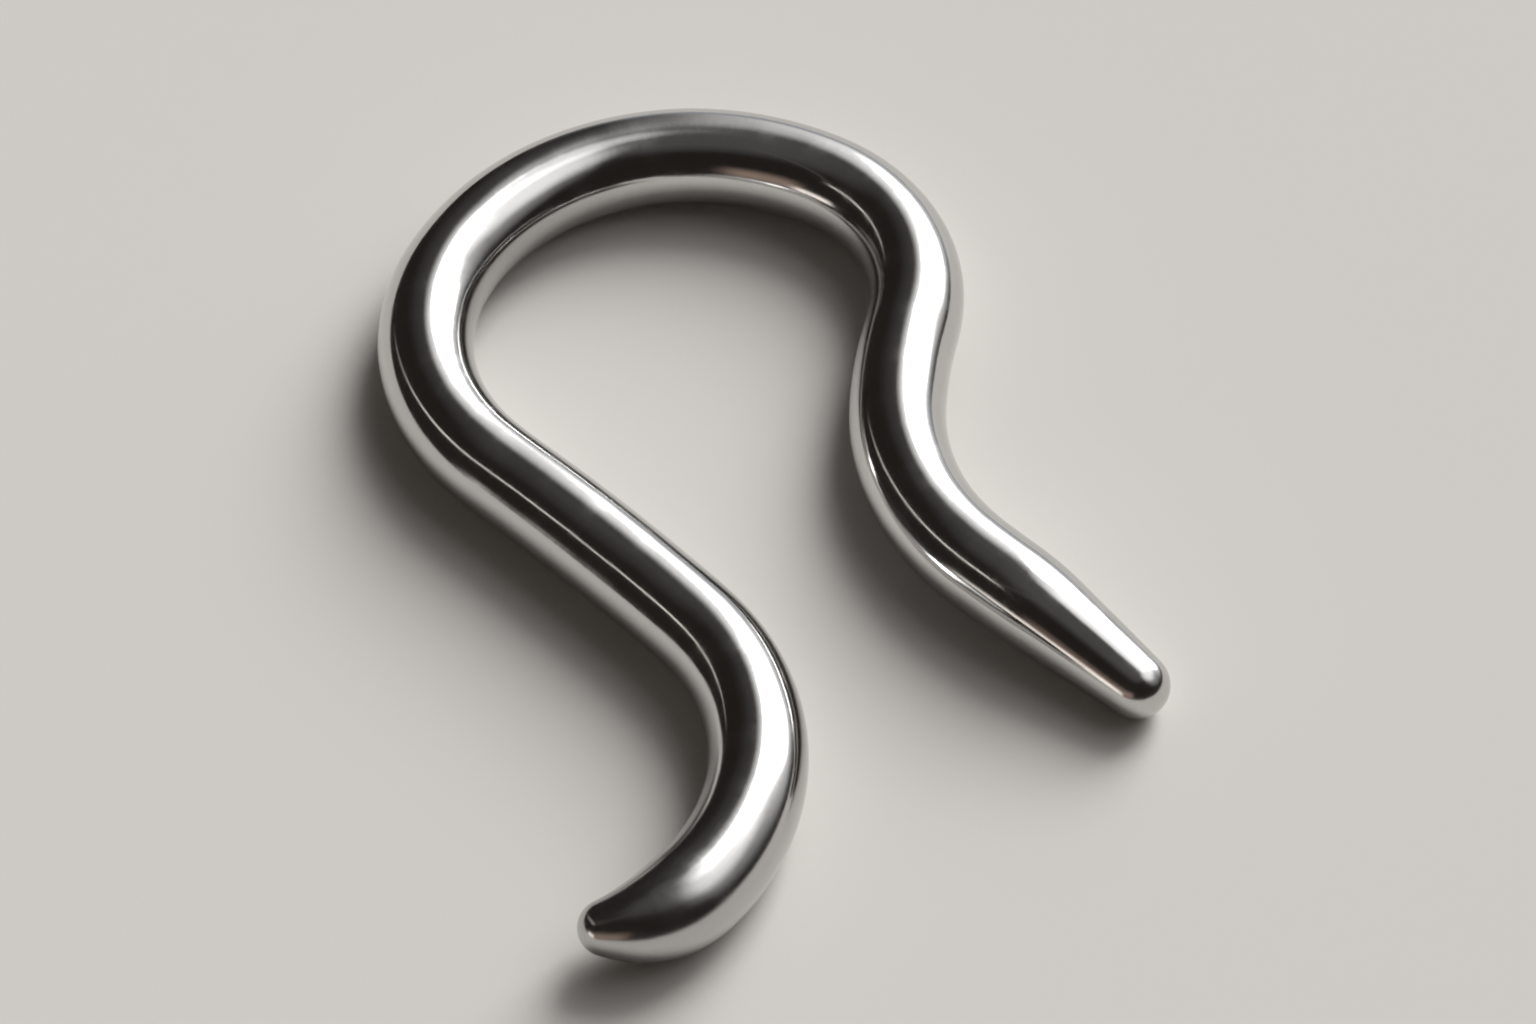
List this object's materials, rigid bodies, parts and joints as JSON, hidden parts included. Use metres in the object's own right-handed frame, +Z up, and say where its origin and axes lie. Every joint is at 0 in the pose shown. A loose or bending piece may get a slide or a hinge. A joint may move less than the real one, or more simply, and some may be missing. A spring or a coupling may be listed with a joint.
{
  "type": "stainless steel hook",
  "caption": "Polished steel hook bent from round rod, with an open loop, a J-shaped end and a tapered tip, for hanging or linking things.",
  "frame": {"origin": "centre of the loop's crown, on the plane that the hook lies on", "axes": "+Z up, square to the plane that the hook is bent in; +Y from the J-shaped end towards the loop's crown; +X towards the slim tip"},
  "size_m": [0.0403, 0.055, 0.005],
  "materials": {
    "steel": "polished"
  },
  "bodies": {
    "root": {"hook": "steel"}
  },
  "joints": []
}
